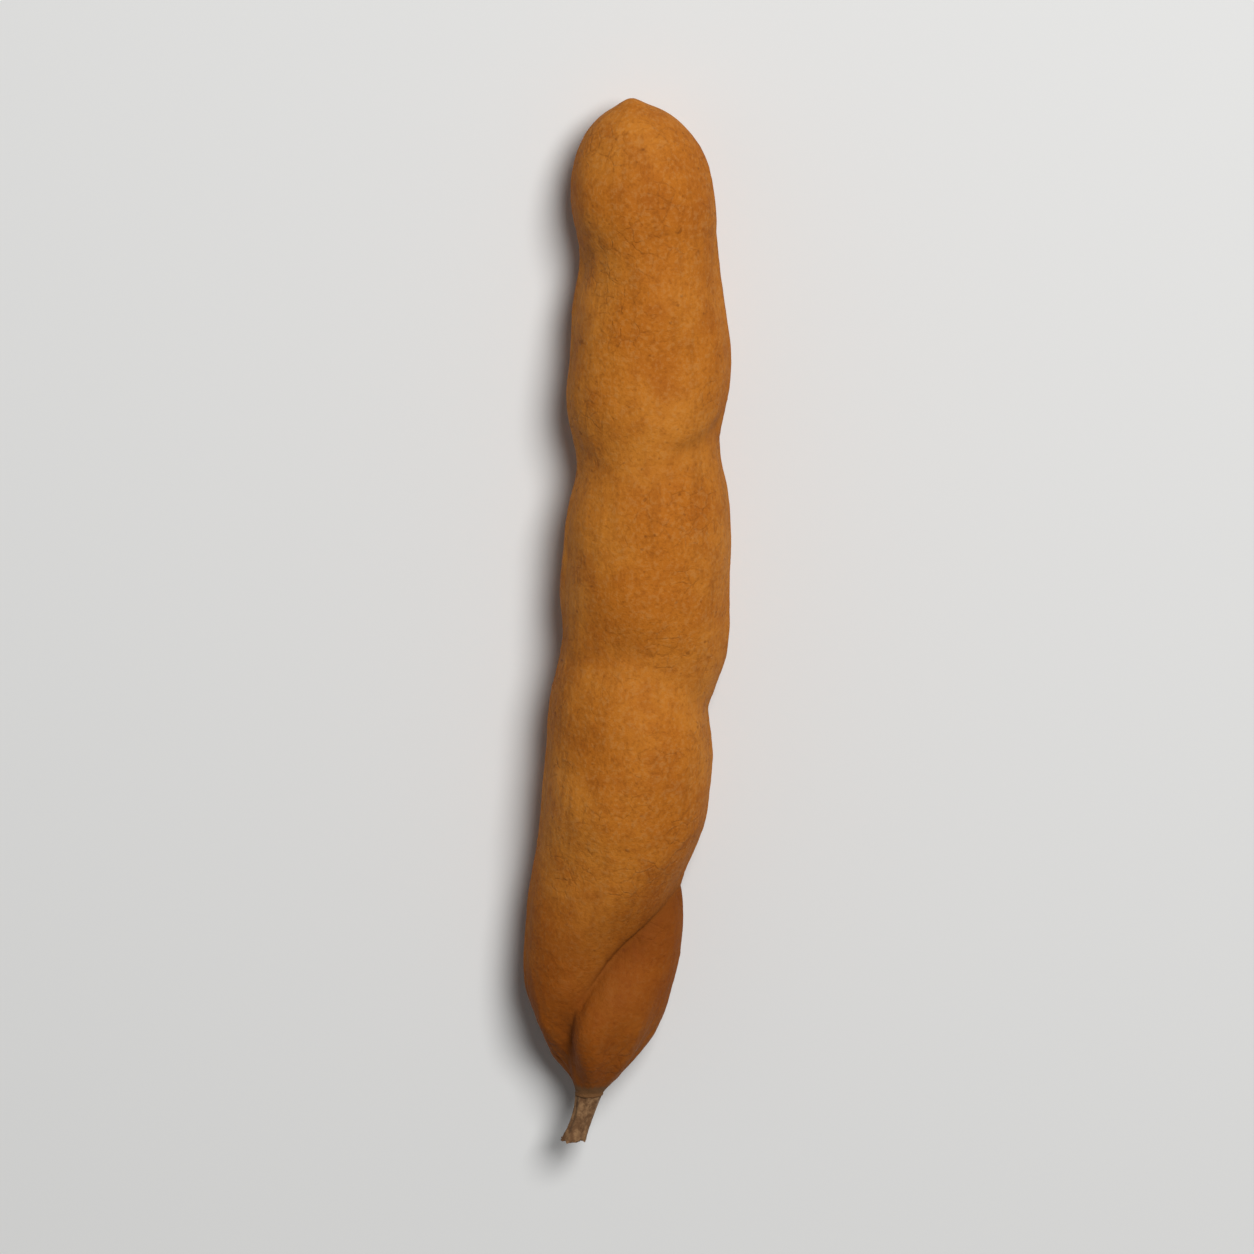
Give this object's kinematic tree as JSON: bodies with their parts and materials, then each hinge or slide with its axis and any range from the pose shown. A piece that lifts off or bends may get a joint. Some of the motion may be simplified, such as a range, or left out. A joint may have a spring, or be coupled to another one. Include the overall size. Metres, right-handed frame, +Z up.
{
  "type": "tamarind pod",
  "caption": "Dried whole tamarind pod lying on its side, gently bowed, with swollen seed chambers, a folded neck and a short stub of stalk.",
  "frame": {"origin": "on the surface that the pod rests on, under the middle of its bounding box", "axes": "+Y along the pod towards its blunt tip, with the stalk at -Y; +X is the side that the pod bows towards; +Z up, towards the side with the fold over the neck"},
  "size_m": [0.0234, 0.1198, 0.0182],
  "materials": {
    "shell": "matt, fine-grained dry shell, cinnamon brown"
  },
  "bodies": {
    "root": {"pod": "shell"}
  },
  "joints": []
}
